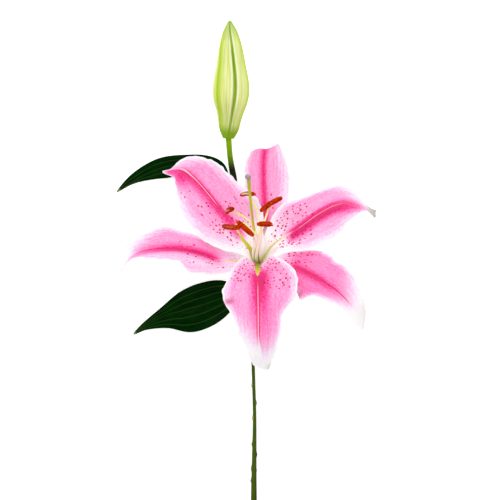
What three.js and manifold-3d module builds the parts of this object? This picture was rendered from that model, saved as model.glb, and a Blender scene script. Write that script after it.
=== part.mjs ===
// A cut pink lily lying on its back on a flat surface: one open bloom facing up, one closed
// bud at the tip of the stem, and two leaves. Millimetres, +Z up, the stem along Y with the bud
// at the +Y end. The surface is at z = 0 and the origin is the middle of the footprint.
// Every tepal, leaf, stalk, filament and anther is a closed solid of its own.
import * as THREE from "three";
import { mergeVertices } from "three/addons/utils/BufferGeometryUtils.js";
import Module from "manifold-3d";

const wasm = await Module();
wasm.setup();

// Driving dimensions
const CLEARANCE = 0.35; // gap left where two pieces meet
const FOOTPRINT_CENTRE = new THREE.Vector2(-2.5, -20.3); // in the layout's own x and y
const AXIS_TILT = 38; // degrees that the bloom's axis leans from upright towards the bud
const AXIS_LEAN = 6; // degrees that it leans to the left
const RECEPTACLE = new THREE.Vector3(7, -12.5, 28); // centre of the bloom's base
const RECEPTACLE_RADIUS = 6.8;
const TEPAL_THICKNESS = 1.3; // at the base, along the midrib
const LEAF_THICKNESS = 0.9; // along the midrib
const BLADE_EDGE = 0.62; // thickness of a tepal or leaf at its margin
const TEPAL_GROOVE = 1.3; // how deep a tepal's midrib lies below its two halves
const LEAF_GROOVE = 0.8;
const GROOVE_WIDTH = 2.45; // from the midrib to where the groove is steep
const FULL_GROOVE_WIDTH = 12; // half-width from which a blade has its full groove
const RUFFLE_START = 0.15; // share of a blade's length that has no ruffle
const BUD_BELLY = 14.3; // greatest radius of the closed bud
const ANTHER_LENGTH = 20;
const ANTHER_RADIUS = 2.05;
const ANTHER_GROOVE = 0.22; // depth of the lengthwise groove, as a share of the radius
const FILAMENT_RADIUS = 0.9; // at its foot
const FILAMENT_TIP_RADIUS = 0.55;

const radians = THREE.MathUtils.degToRad;
const point = ([x, y, z]) => new THREE.Vector3(x, y, z);

// Smooth curves through evenly spaced stations: a path through points, and a value along a piece.
const path = (points) => new THREE.CatmullRomCurve3(points, false, "catmullrom", 0.5);

function along(stations) {
  const curve = path(stations.map((value, i) => new THREE.Vector3(i, value, 0)));
  return (s) => curve.getPoint(THREE.MathUtils.clamp(s, 0, 1)).y;
}

function closedGeometry(vertices, faces) {
  const geometry = new THREE.BufferGeometry();
  geometry.setAttribute("position", new THREE.Float32BufferAttribute(vertices.flat(), 3));
  geometry.setIndex(faces.flat());
  return geometry;
}

// A closed solid through a row of rings that all have the same number of points, each ring
// counter-clockwise seen from its far end.
function loft(rings) {
  const sides = rings[0].length;
  const vertices = rings.flat().map((p) => p.toArray());
  const faces = [];
  for (let i = 0; i + 1 < rings.length; i++) {
    for (let j = 0; j < sides; j++) {
      const next = (j + 1) % sides;
      const [a, b, c, d] = [i * sides + j, i * sides + next, (i + 1) * sides + j, (i + 1) * sides + next];
      faces.push([a, b, c], [b, d, c]);
    }
  }
  for (const [ring, turn] of [[rings[0], -1], [rings.at(-1), 1]]) {
    const first = turn < 0 ? 0 : (rings.length - 1) * sides;
    const centre = ring.reduce((sum, p) => sum.add(p), new THREE.Vector3()).divideScalar(sides);
    vertices.push(centre.toArray());
    for (let j = 0; j < sides; j++) {
      const edge = [first + j, first + ((j + 1) % sides)];
      if (turn < 0) edge.reverse();
      faces.push([...edge, vertices.length - 1]);
    }
  }
  return closedGeometry(vertices, faces);
}

// Rings square to a curve. radius(t, angle) gives the outline, and upright is the direction that
// angle 90 degrees points to.
function rings(curve, radius, sides, steps, upright = new THREE.Vector3(0, 0, 1)) {
  const made = [];
  for (let i = 0; i <= steps; i++) {
    const t = i / steps;
    const tangent = curve.getTangent(t);
    const across = new THREE.Vector3().crossVectors(tangent, upright).normalize().negate();
    const up = new THREE.Vector3().crossVectors(tangent, across).normalize();
    const ring = [];
    for (let j = 0; j < sides; j++) {
      const angle = (2 * Math.PI * j) / sides;
      const r = radius(t, angle);
      ring.push(
        curve
          .getPoint(t)
          .addScaledVector(across, r * Math.cos(angle))
          .addScaledVector(up, r * Math.sin(angle)),
      );
    }
    made.push(ring);
  }
  return made;
}

const tube = (curve, radius, sides, steps, upright) => loft(rings(curve, radius, sides, steps, upright));

// A thin closed blade round a mid-surface. Both faces are split along the same diagonals.
function blade(surface, thickness, lengthSteps, widthSteps) {
  const [top, bottom] = [[], []];
  const step = 1e-3;
  for (let i = 0; i <= lengthSteps; i++) {
    for (let j = 0; j <= widthSteps; j++) {
      const s = i / lengthSteps;
      const q = (2 * j) / widthSteps - 1;
      const [s0, s1] = [Math.max(0, s - step), Math.min(1, s + step)];
      const [q0, q1] = [Math.max(-1, q - step), Math.min(1, q + step)];
      const alongBlade = surface(s1, q).sub(surface(s0, q));
      const acrossBlade = surface(s, q1).sub(surface(s, q0));
      const normal = alongBlade.cross(acrossBlade).normalize();
      const half = thickness(s, q) / 2;
      top.push(surface(s, q).addScaledVector(normal, half).toArray());
      bottom.push(surface(s, q).addScaledVector(normal, -half).toArray());
    }
  }
  const row = widthSteps + 1;
  const under = top.length;
  const T = (i, j) => i * row + j;
  const B = (i, j) => under + i * row + j;
  const faces = [];
  for (let i = 0; i < lengthSteps; i++) {
    for (let j = 0; j < widthSteps; j++) {
      faces.push([T(i, j), T(i + 1, j), T(i, j + 1)], [T(i + 1, j), T(i + 1, j + 1), T(i, j + 1)]);
      faces.push([B(i, j), B(i, j + 1), B(i + 1, j)], [B(i + 1, j), B(i, j + 1), B(i + 1, j + 1)]);
    }
    const last = widthSteps;
    faces.push([T(i, 0), B(i, 0), B(i + 1, 0)], [T(i, 0), B(i + 1, 0), T(i + 1, 0)]);
    faces.push([T(i, last), T(i + 1, last), B(i, last)], [T(i + 1, last), B(i + 1, last), B(i, last)]);
  }
  for (let j = 0; j < widthSteps; j++) {
    const end = lengthSteps;
    faces.push([T(0, j), T(0, j + 1), B(0, j)], [T(0, j + 1), B(0, j + 1), B(0, j)]);
    faces.push([T(end, j), B(end, j), T(end, j + 1)], [B(end, j), B(end, j + 1), T(end, j + 1)]);
  }
  return closedGeometry([...top, ...bottom], faces);
}

// Joins and cuts
function solid(geometry) {
  const bare = geometry.clone();
  bare.deleteAttribute("normal");
  bare.deleteAttribute("uv");
  const merged = mergeVertices(bare, 1e-4);
  return new wasm.Manifold(
    new wasm.Mesh({
      numProp: 3,
      vertProperties: merged.attributes.position.array,
      triVerts: new Uint32Array(merged.index.array),
    }),
  );
}

function geometryOf(made) {
  const mesh = made.getMesh();
  const geometry = new THREE.BufferGeometry();
  geometry.setAttribute("position", new THREE.BufferAttribute(mesh.vertProperties, 3));
  geometry.setIndex(new THREE.BufferAttribute(mesh.triVerts, 1));
  return geometry;
}

// Cuts away what would dip below the surface, which leaves a small flat spot to rest on.
function restedOnSurface(geometry) {
  const below = new THREE.BoxGeometry(600, 600, 40).translate(0, 0, -20);
  return geometryOf(solid(geometry).subtract(solid(below)));
}

// The bloom's own frame: AXIS points out of the bloom, RIGHT and UP lie square to it.
const AXIS = new THREE.Vector3(
  -Math.sin(radians(AXIS_LEAN)),
  Math.cos(radians(AXIS_LEAN)) * Math.sin(radians(AXIS_TILT)),
  Math.cos(radians(AXIS_LEAN)) * Math.cos(radians(AXIS_TILT)),
);
const UP = new THREE.Vector3(0, 1, 0).addScaledVector(AXIS, -AXIS.y).normalize();
const RIGHT = new THREE.Vector3().crossVectors(UP, AXIS);

function outward(azimuth) {
  const angle = radians(azimuth);
  return new THREE.Vector3()
    .addScaledVector(RIGHT, Math.cos(angle))
    .addScaledVector(UP, Math.sin(angle));
}

// A blade's mid-surface: s runs along its midrib from 0 to 1, and q across it from -1 to 1.
// Each side has its half-widths and its cup, the turn in degrees from midrib to margin, where a
// positive value lifts the margin towards the face. roll is a twist about the midrib, groove is
// the depth of the midrib, and ruffle is the wave of the margins: its height, the number of
// waves, and the phase on either side.
function bladeSurface(rib, sideways, { clockwise, counter, roll, groove, ruffle }) {
  const sides = [clockwise, counter].map(({ width, cup }) => [along(width), along(cup)]);
  const twist = along(roll);
  const [height, waves, ...phases] = ruffle;
  return (s, q) => {
    const tangent = rib.getTangent(s);
    const across = sideways.clone().addScaledVector(tangent, -sideways.dot(tangent)).normalize();
    across.applyAxisAngle(tangent, radians(twist(s)));
    const inward = new THREE.Vector3().crossVectors(tangent, across);
    const side = q < 0 ? 0 : 1;
    const [width, cup] = sides[side];
    const w = width(s);
    const bend = radians(cup(s)) || 1e-6;
    const reach = Math.abs(q);
    const lateral = (w * Math.sin(bend * reach)) / bend;
    const arch = (w * (1 - Math.cos(bend * reach))) / bend;
    const away = 1 - Math.exp(-((w * reach) ** 2) / (2 * GROOVE_WIDTH ** 2));
    const rise = groove * away * Math.min(1, w / FULL_GROOVE_WIDTH);
    const wave = Math.sin(2 * Math.PI * (waves * s + phases[side]));
    const open = Math.sin(Math.PI * Math.max(0, (s - RUFFLE_START) / (1 - RUFFLE_START)));
    return rib
      .getPoint(s)
      .addScaledVector(across, Math.sign(q) * lateral)
      .addScaledVector(inward, arch + rise + height * open * reach ** 3 * wave);
  };
}

const bladeThickness = (middle) => (s, q) =>
  BLADE_EDGE + (middle - BLADE_EDGE) * (1 - Math.abs(q)) ** 2 * (1 - 0.5 * s);

// Tepals. The midrib is a list of [radius from the axis, height along it, sideways drift], and
// azimuth is its direction round the axis. clockwise and counter are seen from the front of the
// bloom.
const TEPALS = {
  inner_tepal_lower: {
    azimuth: -90,
    midrib: [
      [4.3, 0.8, 0], [9, 13.6, 1.6], [22.5, 21.5, 3], [40, 26, 5], [62, 26, 7],
      [78, 18, 8], [86, 6, 9.5], [89, -5, 10.5], [88, -15, 11],
    ],
    clockwise: {
      width: [
        2.3, 5.9, 10.3, 15, 19.5, 22.5, 26.6, 26.6, 22.5, 20, 17.5, 15.5, 14, 12.6, 10.3, 7.6, 2.4,
      ],
      cup: [68, 64, 26, 0, -35, -45, -45, -35, -20],
    },
    counter: {
      width: [2.3, 6.9, 12, 17, 23, 28.5, 31, 27.6, 19.6, 18.2, 18, 15.6, 12.5, 9.2, 6.2, 4.2, 2],
      cup: [70, 68, 32, 5, -40, -45, -45, -35, -20],
    },
    ruffle: [2.2, 2.3, 0.1, 0.55],
  },
  inner_tepal_upper_right: {
    azimuth: 31,
    midrib: [
      [4.3, 0.8, 0], [15, 14, 0], [27, 20, 0], [39, 26, -1], [53, 31, -1],
      [67, 33, -1], [80, 30, -2], [91, 21, -2.5], [101.8, 4.2, -5.1],
    ],
    clockwise: {
      width: [2.3, 6, 10, 15.5, 20.5, 23.7, 25.5, 26.8, 27, 24.5, 21, 18, 15, 11.6, 7.5, 3.4, 3.6],
      cup: [62, 50, 30, 5, -20, -30, -30, -40, -100],
    },
    counter: {
      width: [
        2.3, 6.6, 11, 15.7, 20, 23.7, 26, 25.8, 24.5, 22.2, 19.6, 18.8, 20, 20, 14, 3.4, 3.6,
      ],
      cup: [62, 50, 30, 5, -20, -25, -5, 20, 100],
    },
    ruffle: [2.5, 2.2, 0.3, 0.8],
  },
  inner_tepal_upper_left: {
    azimuth: 137,
    midrib: [
      [4.3, 0.8, 0], [7, 14, -1], [17, 20, -1], [30, 27, -2], [45, 33, -2],
      [61, 38, -3.5], [78, 41, -4.5], [90, 42, -2.8], [100.4, 40, 6.8],
    ],
    clockwise: {
      width: [
        2.3, 6.6, 11, 15.6, 20, 24, 27, 27.8, 27.5, 26.4, 25, 24, 21.5, 17.5, 12, 2.6, 1,
      ],
      cup: [62, 50, 30, 18, 8, 5, 5, 0, -10],
    },
    counter: {
      width: [
        2.3, 6.8, 11.4, 16.8, 22, 26.2, 29, 29.6, 29, 28, 25.5, 21.5, 16.5, 13, 12, 6.5, 1,
      ],
      cup: [62, 50, 30, 12, 0, -10, -20, -30, -30],
    },
    ruffle: [2.0, 2.0, 0.6, 0.2],
  },
  outer_tepal_left: {
    azimuth: 190,
    midrib: [
      [5.9, 1, 0], [14, 5, -1], [30, 14, -1], [44, 23, -3], [59, 29, -5],
      [75, 31, -6], [90, 29, -7], [99, 24, -6], [107, 13, -4],
    ],
    clockwise: {
      width: [
        2.3, 5.2, 8, 10.7, 13, 14.6, 16.2, 17.4, 18, 19.8, 17.2, 13, 9.8, 9.8, 9.5, 5.8, 1.2,
      ],
      cup: [50, 30, 5, -10, 5, 30, 40, 30, 10],
    },
    counter: {
      width: [
        2.3, 5, 8, 12.1, 16, 18.7, 20.4, 23, 16.3, 14.8, 13, 10.6, 8.5, 8.1, 7.5, 4.7, 1.2,
      ],
      cup: [50, 30, 5, -10, 5, 30, 40, 30, 10],
    },
    ruffle: [2.0, 2.6, 0.4, 0.0],
  },
  outer_tepal_upper: {
    azimuth: 88,
    midrib: [
      [5.9, 1, 0], [12, 11, -5], [25, 18, -4], [42, 26, -2.6], [59, 35, -0.5],
      [72, 42, 0], [83, 43, 0], [88, 35, 0], [85, 30, 0],
    ],
    clockwise: {
      width: [2.3, 8, 14, 18.4, 20.8, 18.6, 13, 7.9, 1.2],
      cup: [50, 30, -5, -15, -5, 20, 48, 30, -10],
    },
    counter: {
      width: [
        2.3, 5.1, 8, 11.2, 14, 15.3, 16, 16.6, 15, 15.8, 15.5, 14, 11.8, 9.2, 7.5, 4.5, 1.2,
      ],
      cup: [50, 30, 0, -10, -5, -25, -35, -25, -20],
    },
    ruffle: [1.8, 2.4, 0.7, 0.3],
  },
  outer_tepal_lower_right: {
    azimuth: -30,
    midrib: [
      [5.9, 1, 0], [16, 8, 4], [29, 14, 5], [41, 19, 2.5], [54, 23, 0],
      [66, 24, -1.5], [79, 18, -1.5], [90, 7, -2], [99, -10, -4.5],
    ],
    clockwise: {
      width: [
        2.3, 5.1, 8, 11.2, 14, 15.8, 17, 18, 19.5, 22.5, 16, 14.6, 13, 11.3, 9, 5.3, 1.2,
      ],
      cup: [50, 30, 5, -5, -20, 5, 10, 5, 0],
    },
    counter: {
      width: [
        2.3, 5, 8.5, 12.5, 17, 22.8, 23.8, 23.2, 22, 18.6, 19, 19.5, 18, 15.5, 12.5, 8.5, 1.2,
      ],
      cup: [50, 25, -10, -10, 0, 10, 10, 5, 0],
    },
    ruffle: [2.0, 2.2, 0.5, 0.9],
  },
};

function tepalSurface({ azimuth, midrib, ...shape }) {
  const out = outward(azimuth);
  const sideways = new THREE.Vector3().crossVectors(AXIS, out);
  const rib = path(
    midrib.map(([r, h, drift]) =>
      RECEPTACLE.clone()
        .addScaledVector(out, r)
        .addScaledVector(AXIS, h)
        .addScaledVector(sideways, drift),
    ),
  );
  return bladeSurface(rib, sideways, { roll: [0, 0], groove: TEPAL_GROOVE, ...shape });
}

// Leaves. The midrib is a list of [x, y, z], from the stem to the tip, and the face is up.
const LEAVES = {
  leaf_lower: {
    midrib: [
      [-3.4, -33.3, 3.3], [-20, -37.5, 9], [-36, -43, 12.5], [-52, -47.5, 12], [-68, -52.5, 8],
      [-83, -60, 3.5], [-93, -67.2, 0.6],
    ],
    clockwise: {
      width: [2, 14.2, 17.2, 14.6, 7.2, 3, 0.8],
      cup: [60, 25, 5, -5, 5, 15, 0],
    },
    counter: {
      width: [2, 12.8, 18.3, 18.5, 10.5, 4, 0.8],
      cup: [60, 25, 5, -5, 5, 15, 0],
    },
    ruffle: [1.2, 1.6, 0.2, 0.7],
  },
  leaf_upper: {
    midrib: [
      [-17, 57.4, 5.2], [-25, 65, 4.6], [-36, 69, 3.8], [-51, 69, 3.4], [-67, 66.5, 3],
      [-80, 62, 2.4], [-94, 54.5, 1.2], [-106.5, 46.5, 0.5],
    ],
    clockwise: {
      width: [1.5, 6, 6.6, 7, 8, 7.2, 5, 0.7],
      cup: [50, 15, 0, 0, 0, 5, 5, 0],
    },
    counter: {
      width: [1.5, 5, 8, 9, 9.1, 6.2, 1.8, 0.7],
      cup: [50, 20, 5, 0, 0, 5, 5, 0],
    },
    ruffle: [0.5, 1.6, 0.1, 0.6],
  },
};

function leafSurface({ midrib, ...shape }) {
  const [first, last] = [point(midrib[0]), point(midrib.at(-1))];
  const sideways = new THREE.Vector3(0, 0, 1).cross(last.sub(first)).normalize();
  return bladeSurface(path(midrib.map(point)), sideways, { roll: [0, 0], groove: LEAF_GROOVE, ...shape });
}

// Stem: one grown piece that runs from the cut end to the base of the bud. The bloom's stalk
// branches off it, bends up and flares into the receptacle that carries the tepals, the stamens
// and the pistil. Stations are [x, y, z, radius].
const STEM = [
  [3.5, -224, 2.5, 2.4], [3.1, -196, 2.4, 2.3], [3.4, -165, 2.0, 1.85], [3.7, -134, 1.8, 1.4],
  [2.9, -104, 2.0, 1.35], [2, -76, 2.3, 1.45], [0.4, -48, 2.9, 1.6], [-2.6, -16, 3.6, 1.8],
  [-7.2, 18, 4.2, 2.1], [-12.6, 55, 5.2, 2.5], [-15.7, 73, 6.8, 2.2], [-17.1, 88.2, 9, 2.3],
];
const BLOOM_STALK = [
  [0.9, -60, 2.6, 1.5], [3.3, -46, 5, 1.8], [6.4, -34, 8.6, 2.2], [8.6, -24.5, 14, 2.9],
  [...RECEPTACLE.clone().addScaledVector(AXIS, -8), 4.4], [...RECEPTACLE, RECEPTACLE_RADIUS],
];
const LEAF_SCARS = [
  [-108, -1], [-122, 1], [-134, -1], [-155, -1], [-163, 1], [-174, -1], [-184, -1],
]; // [y, side of the stem]
const NODE_RING_Y = -176;
const CUT_END = new THREE.Vector3(3.7, -221, 2.4); // middle of the slanting cut
const CUT_SLANT = 35; // degrees from square

function stalk(stations, sides, steps) {
  const curve = path(stations.map(point));
  const radius = along(stations.map((station) => station[3]));
  return { curve, radius, geometry: tube(curve, radius, sides, steps) };
}

function stemGeometry() {
  const stem = stalk(STEM, 12, 44);
  let grown = solid(stem.geometry).add(solid(stalk(BLOOM_STALK, 12, 20).geometry));
  const placeAt = (y) => {
    let t = 0;
    while (stem.curve.getPoint(t).y < y) t += 1e-3;
    return [stem.curve.getPoint(t), stem.radius(t)];
  };
  for (const [y, side] of LEAF_SCARS) {
    const [centre, r] = placeAt(y);
    const scar = new THREE.SphereGeometry(1, 8, 6).scale(0.9, 2.3, 0.9);
    grown = grown.add(solid(scar.translate(centre.x + side * r, centre.y, centre.z)));
  }
  const [centre, r] = placeAt(NODE_RING_Y);
  const ring = new THREE.SphereGeometry(1, 12, 6).scale(r + 0.35, 1, r + 0.35);
  const beyondCut = new THREE.BoxGeometry(20, 20, 20).translate(0, -10, 0);
  beyondCut.rotateX(radians(-CUT_SLANT)).translate(...CUT_END);
  return geometryOf(grown.add(solid(ring.translate(...centre))).subtract(solid(beyondCut)));
}

// Closed bud: three outer tepals wrapped round it, which meet at three seams and each have a
// raised keel. Stations are [share of the length, radius].
const BUD_BASE = [-17.2, 88.9, 9.1];
const BUD_TIP = [-16, 182, 9];
const BUD_PROFILE = [4.4, 7.7, 8.9, 10.8, 13.2, BUD_BELLY, 14, 12.9, 11.5, 10.4, 9.1, 7.4, 5, 1.2];

function budGeometry() {
  const curve = path([
    point(BUD_BASE), new THREE.Vector3(-16, 107, 11.6), new THREE.Vector3(-15.3, 126, 13.8),
    new THREE.Vector3(-15.2, 145, 13.2), new THREE.Vector3(-15.5, 164, 10.8), point(BUD_TIP),
  ]);
  const profile = along(BUD_PROFILE);
  const outline = (t, angle) => {
    const lobe = Math.cos(3 * (angle - Math.PI / 2));
    const seam = 0.07 * Math.max(0, lobe) ** 8;
    const keel = 0.05 * Math.max(0, -lobe) ** 3;
    return profile(t) * (1 - seam + keel);
  };
  return tube(curve, outline, 24, 26);
}

// Stamens and pistil, placed from the receptacle. The filaments stand round the pistil's foot,
// gather into a column beside it, and fan out from the column's top. Each stamen is the direction
// round the axis in which its filament leaves, its place in the column to the right and up, the
// bend above the column, the middle of its anther, and the anther's direction. The anther swings
// on its filament's tip.
const COLUMN_TOP = [-0.5, 25, 32];
const STAMENS = [
  {
    azimuth: 90, gather: [0.2, 2.6], bend: [-1.3, 42, 27.5],
    anther: [-8.9, 56.2, 21], lie: [0.52, 0, 0.85],
  },
  {
    azimuth: 30, gather: [2.2, 1.4], bend: [6.6, 42, 31.5],
    anther: [8.7, 48.1, 36], lie: [0.83, 0.51, 0.2],
  },
  {
    azimuth: 150, gather: [-2.4, 3.6], bend: [-11.6, 37.8, 35],
    anther: [-23.2, 43.2, 36], lie: [0.25, 0.1, 0.96],
  },
  {
    azimuth: 210, gather: [-2.1, -3], bend: [-12, 33.2, 41.5],
    anther: [-22, 29.8, 49], lie: [0.65, -0.06, 0.76],
  },
  {
    azimuth: 270, gather: [0.2, -2.4], bend: [-7, 26.9, 46],
    anther: [-11, 29, 54], lie: [0.59, -0.53, 0.61],
  },
  {
    azimuth: 330, gather: [2.4, -1.1], bend: [1.4, 30, 44],
    anther: [5, 32.3, 52], lie: [0.52, 0, -0.85],
  },
];
const PISTIL = [
  [0, 0, 0], [-1.3, 8, 10.5], [-2.5, 16.5, 21], [-3.7, 25.5, 31.5], [-5, 36, 40],
  [-6.1, 46, 46], [-7.2, 56, 50], [-8, 66, 52.5],
];
const PISTIL_RADIUS = [1.1, 1.45, 1.45, 1.15, 1.0, 1.0, 1.1, 1.5];
const STIGMA_LENGTH = 3.4;

function stamen({ azimuth, gather, bend, anther, lie }) {
  const out = outward(azimuth);
  const base = RECEPTACLE.clone().addScaledVector(out, 2.5).addScaledVector(AXIS, CLEARANCE);
  const low = RECEPTACLE.clone().addScaledVector(out, 3.1).addScaledVector(AXIS, 17);
  const gathered = RECEPTACLE.clone()
    .add(point(COLUMN_TOP))
    .addScaledVector(RIGHT, gather[0])
    .addScaledVector(UP, gather[1]);
  const fanned = RECEPTACLE.clone().add(point(bend));
  const middle = RECEPTACLE.clone().add(point(anther));
  const direction = point(lie).normalize();
  const approach = middle.clone().sub(fanned).normalize();
  const slant = approach.angleTo(direction);
  const backToMiddle = ANTHER_RADIUS * (1 - ANTHER_GROOVE) + CLEARANCE;
  const standOff = (backToMiddle + FILAMENT_TIP_RADIUS * Math.abs(Math.cos(slant))) / Math.sin(slant);
  const tip = middle.clone().addScaledVector(approach, -standOff);
  const filament = path([base, low, gathered, fanned, tip]);
  const bow = approach.clone().addScaledVector(direction, -approach.dot(direction)).normalize();
  const half = direction.clone().multiplyScalar(ANTHER_LENGTH / 2);
  const sac = path([
    middle.clone().sub(half).addScaledVector(bow, -1),
    middle,
    middle.clone().add(half).addScaledVector(bow, -1),
  ]);
  const taper = along([0.6, 0.95, 1, 1, 1, 0.95, 0.6]);
  const outline = (t, angle) => {
    const groove = ANTHER_GROOVE * Math.abs(Math.sin(angle)) ** 6;
    return ANTHER_RADIUS * taper(t) * (1 - groove);
  };
  return [
    tube(filament, along([FILAMENT_RADIUS, FILAMENT_TIP_RADIUS]), 6, 14),
    tube(sac, outline, 10, 8, bow),
  ];
}

function pistilGeometry() {
  const base = RECEPTACLE.clone().addScaledVector(AXIS, CLEARANCE);
  const curve = path(PISTIL.map((offset) => base.clone().add(point(offset))));
  const [end, heading] = [curve.getPoint(1), curve.getTangent(1)];
  const reach = [CLEARANCE, CLEARANCE + STIGMA_LENGTH];
  const knob = path(reach.map((distance) => end.clone().addScaledVector(heading, distance)));
  const swell = along([1.6, 2.4, 2.6, 2.0]);
  const lobed = (t, angle) => swell(t) * (1 + 0.15 * Math.cos(3 * angle));
  return [tube(curve, along(PISTIL_RADIUS), 8, 16), tube(knob, lobed, 12, 4)];
}

// Colours
const MATERIALS = Object.fromEntries(
  Object.entries({
    stem: [0x4c6b1e, 0.5],
    leaf: [0x0d3312, 0.35],
    bud: [0xc3d86a, 0.45],
    tepal: [0xf58cc0, 0.5],
    filament: [0xe9edb8, 0.5],
    anther: [0xb83a0c, 0.8],
    style: [0xb4c22c, 0.45],
    stigma: [0x8a7668, 0.5],
  }).map(([name, [color, roughness]]) => [
    name,
    new THREE.MeshStandardMaterial({ name, color, roughness, metalness: 0 }),
  ]),
);

const lily = new THREE.Group();
lily.position.set(-FOOTPRINT_CENTRE.x, -FOOTPRINT_CENTRE.y, 0);

function add(name, geometry, material) {
  const mesh = new THREE.Mesh(geometry, MATERIALS[material]);
  mesh.name = name;
  lily.add(mesh);
}

add("stem", restedOnSurface(stemGeometry()), "stem");
add("bud", restedOnSurface(budGeometry()), "bud");
for (const [name, leaf] of Object.entries(LEAVES)) {
  const made = blade(leafSurface(leaf), bladeThickness(LEAF_THICKNESS), 18, 8);
  add(name, restedOnSurface(made), "leaf");
}
for (const [name, tepal] of Object.entries(TEPALS)) {
  const made = blade(tepalSurface(tepal), bladeThickness(TEPAL_THICKNESS), 20, 8);
  add(name, restedOnSurface(made), "tepal");
}
STAMENS.forEach((spec, i) => {
  const [filament, anther] = stamen(spec);
  add(`filament_${i + 1}`, filament, "filament");
  add(`anther_${i + 1}`, anther, "anther");
});
const [pistil, stigma] = pistilGeometry();
add("pistil", pistil, "style");
add("stigma", stigma, "stigma");

export default lily;
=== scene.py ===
import math
import random

import bpy
import numpy as np
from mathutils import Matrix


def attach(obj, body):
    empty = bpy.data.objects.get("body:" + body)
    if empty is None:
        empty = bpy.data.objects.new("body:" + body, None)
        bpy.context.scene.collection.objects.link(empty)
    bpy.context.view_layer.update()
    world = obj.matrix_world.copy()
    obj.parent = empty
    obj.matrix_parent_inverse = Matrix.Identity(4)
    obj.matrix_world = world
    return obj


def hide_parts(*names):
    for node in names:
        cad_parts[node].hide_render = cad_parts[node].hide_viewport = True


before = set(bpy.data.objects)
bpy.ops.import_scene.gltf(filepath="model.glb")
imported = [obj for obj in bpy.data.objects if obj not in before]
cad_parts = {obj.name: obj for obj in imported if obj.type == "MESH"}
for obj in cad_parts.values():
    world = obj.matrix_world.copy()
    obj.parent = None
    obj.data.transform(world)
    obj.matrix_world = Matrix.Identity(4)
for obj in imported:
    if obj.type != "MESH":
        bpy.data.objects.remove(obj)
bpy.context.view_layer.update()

# The surface, the light and the camera. The cut lily lies on a matt white light table under two
# large soft boxes, and the camera looks straight down. Lengths are in millimetres, measured from
# the middle of the photograph, and become metres from the middle of the lily's footprint.
MM = 0.001
CAMERA_HEIGHT = 1500
VIEW_WIDTH = 400  # of the surface that the photograph takes in
FOOTPRINT_CENTRE = np.array([-2.5, -20.3, 0])


def linear(colour):
    """Linear red, green, blue and alpha of an sRGB hex colour."""
    channels = [int(colour[i : i + 2], 16) / 255 for i in (1, 3, 5)]
    return [c / 12.92 if c <= 0.04045 else ((c + 0.055) / 1.055) ** 2.4 for c in channels] + [1]


def feed(node, sockets):
    """Gives inputs of a node a value, a hex colour, the node or output that feeds it, or the name of
    numbers that the mesh's vertices keep. A node feeds its first output in use."""
    for socket, value in sockets.items():
        if isinstance(value, str) and value[0] != "#":
            value = add_node(node.id_data, "ShaderNodeAttribute", attribute_name=value).outputs["Fac"]
        elif isinstance(value, bpy.types.Node):
            value = next(output for output in value.outputs if output.enabled)
        if isinstance(value, bpy.types.NodeSocket):
            node.id_data.links.new(value, node.inputs[socket])
        else:
            node.inputs[socket].default_value = linear(value) if isinstance(value, str) else value


def add_node(tree, kind, sockets=None, stops=(), **settings):
    """Adds a node and feeds it. stops are the places and the colours or greys of a ramp."""
    made = tree.nodes.new(kind)
    for name, value in settings.items():
        setattr(made, name, value)
    feed(made, sockets or {})
    for _ in stops[2:]:
        made.color_ramp.elements.new(0.5)
    for index, (position, tone) in enumerate(stops):
        element = made.color_ramp.elements[index]
        element.position = position
        element.color = linear(tone) if isinstance(tone, str) else (tone, tone, tone, 1)
    return made


def new_material(name):
    """A material, its node tree and its shader, which has nothing fed to it yet."""
    material = bpy.data.materials.new(name)
    material.use_nodes = True
    tree = material.node_tree
    tree.nodes.clear()
    shader = add_node(tree, "ShaderNodeBsdfPrincipled")
    add_node(tree, "ShaderNodeOutputMaterial", {"Surface": shader})
    return material, tree, shader


scene = bpy.context.scene
scene.view_settings.view_transform = "Standard"

bpy.ops.object.select_all(action="DESELECT")
camera_place = ([0, 0, CAMERA_HEIGHT] - FOOTPRINT_CENTRE) * MM
bpy.ops.object.camera_add(location=camera_place)
camera = bpy.context.object
camera.data.angle = 2 * math.atan(VIEW_WIDTH / 2 / CAMERA_HEIGHT)
scene.camera = camera

ROOM_LIGHT = 0.62
TABLE_GLOW = 0.55
world = bpy.data.worlds.new("soft_white_room")
world.use_nodes = True
feed(world.node_tree.nodes["Background"], {"Color": "#FFFFFF", "Strength": ROOM_LIGHT})
scene.world = world
SOFT_BOXES = [
    ("key_soft_box", (-0.35, 0.7, 1.2), 0.9, 8.5), ("fill_soft_box", (0.8, -0.3, 1.3), 1.2, 3.4),
]  # place and side in metres, watts
for name, spot, side, watts in SOFT_BOXES:
    bpy.ops.object.light_add(type="AREA", location=spot)
    soft_box = bpy.context.object
    soft_box.name = name
    soft_box.data.shape = "SQUARE"
    soft_box.data.size = side
    soft_box.data.energy = watts
    soft_box.rotation_euler = (-soft_box.location).to_track_quat("-Z", "Y").to_euler()

bpy.ops.object.select_all(action="DESELECT")
bpy.ops.mesh.primitive_plane_add(size=6)
surface = bpy.context.object
surface.name = "light_table"
# Frosted white acrylic, softly lit from below, so that shadows on it are faint.
acrylic, tree, shader = new_material("frosted_white_acrylic")
frost = add_node(tree, "ShaderNodeTexNoise", {"Scale": 40, "Detail": 4})
MASK, UNDER, OVER = 0, 6, 7  # inputs of a Mix node that lays one colour over another
sockets = {MASK: frost, UNDER: "#F4F4F4", OVER: "#F9F9F9"}
mottle = add_node(tree, "ShaderNodeMix", sockets, data_type="RGBA")
feed(shader, {"Base Color": mottle, "Roughness": 0.9})
feed(shader, {"Emission Color": "#FFFFFF", "Emission Strength": TABLE_GLOW})
surface.data.materials.append(acrylic)

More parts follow.
